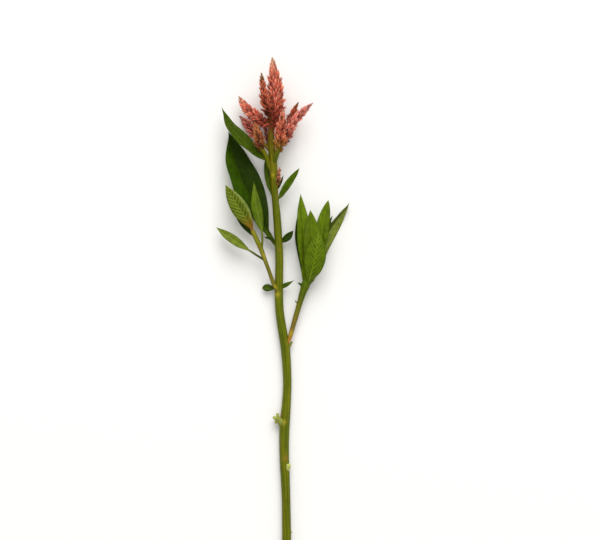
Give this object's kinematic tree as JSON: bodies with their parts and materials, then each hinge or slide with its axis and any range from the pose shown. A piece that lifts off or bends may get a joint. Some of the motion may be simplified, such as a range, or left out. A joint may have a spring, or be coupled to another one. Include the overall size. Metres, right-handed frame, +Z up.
{
  "type": "wheat celosia stem",
  "caption": "Cut flower stem with pointed coral flower spikes, narrow leaves and leafy side shoots, lying flat.",
  "frame": {"origin": "on the surface that the stem lies on, under the middle of the whole cut stem", "axes": "+Y along the stem from the cut end to the flower head, +Z up from the surface, +X to the right"},
  "size_m": [0.1198, 0.4467, 0.0319],
  "materials": {
    "stem": "ridged green stem skin, satin",
    "shoot": "thin green stem skin, satin",
    "coral_florets": "papery coral florets",
    "ochre_florets": "papery ochre florets",
    "leaf_dark": "dark leaf, satin",
    "leaf_mid": "green leaf, satin",
    "leaf_light": "pale green leaf, satin"
  },
  "bodies": {
    "root": {"main_stem": "stem", "left_shoot": "shoot", "right_shoot": "shoot", "spike_top": "coral_florets", "spike_upper_left": "coral_florets", "spike_left": "coral_florets", "spike_lower_left": "coral_florets", "spike_front_left": "ochre_florets", "spike_under_left": "coral_florets", "spike_front_right": "coral_florets", "spike_back_right": "coral_florets", "spike_right": "coral_florets", "spike_bud": "ochre_florets", "leaf_upper_left": "leaf_dark", "leaf_big_left": "leaf_dark", "leaf_right": "leaf_dark", "leaf_under_stem": "leaf_dark", "leaf_dark_right": "leaf_dark", "leaf_node_left": "leaf_mid", "leaf_node_right": "leaf_mid", "bract_left": "leaf_dark", "bract_bud": "leaf_dark", "leaf_shoot_low": "leaf_mid", "leaf_shoot_veined": "leaf_light", "leaf_shoot_back": "leaf_dark", "leaf_shoot_inner": "leaf_light", "leaf_whorl_left": "leaf_mid", "leaf_whorl_left_back": "leaf_dark", "leaf_whorl_middle": "leaf_mid", "leaf_whorl_front": "leaf_light", "leaf_whorl_right": "leaf_mid", "leaf_whorl_back": "leaf_dark", "leaf_whorl_outer": "leaf_mid", "bract_whorl": "leaf_dark"}
  },
  "joints": []
}
